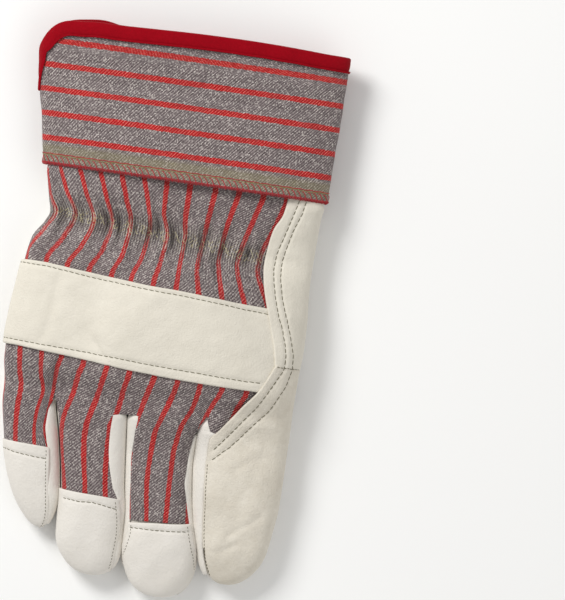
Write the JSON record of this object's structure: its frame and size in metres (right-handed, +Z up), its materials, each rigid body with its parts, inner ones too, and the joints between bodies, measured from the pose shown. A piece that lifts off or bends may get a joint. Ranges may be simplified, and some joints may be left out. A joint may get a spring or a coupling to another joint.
{
  "type": "leather palm work glove",
  "caption": "Right-hand work glove with a leather palm, knuckle strap and fingertips, a striped cloth back and a stiff bound cuff, lying empty with its palm down.",
  "frame": {"origin": "on the surface that the glove lies on, under the middle of its bounding box", "axes": "+Z up, out of the back of the hand; +Y from the fingertips to the cuff's mouth; +X towards the index finger's side"},
  "size_m": [0.1452, 0.266, 0.0354],
  "materials": {
    "leather": "matt split leather, warm off-white",
    "striped_cloth": "taupe cotton twill with narrow red stripes",
    "binding": "deep red woven tape"
  },
  "bodies": {
    "root": {"back": "striped_cloth", "knuckle_strap": "leather", "palm": "leather", "finger_fronts": "leather", "thumb": "leather", "cuff": "striped_cloth", "cuff_binding": "binding", "pulse_patch": "leather", "tip_pinky": "leather", "tip_ring": "leather", "tip_middle": "leather"}
  },
  "joints": []
}
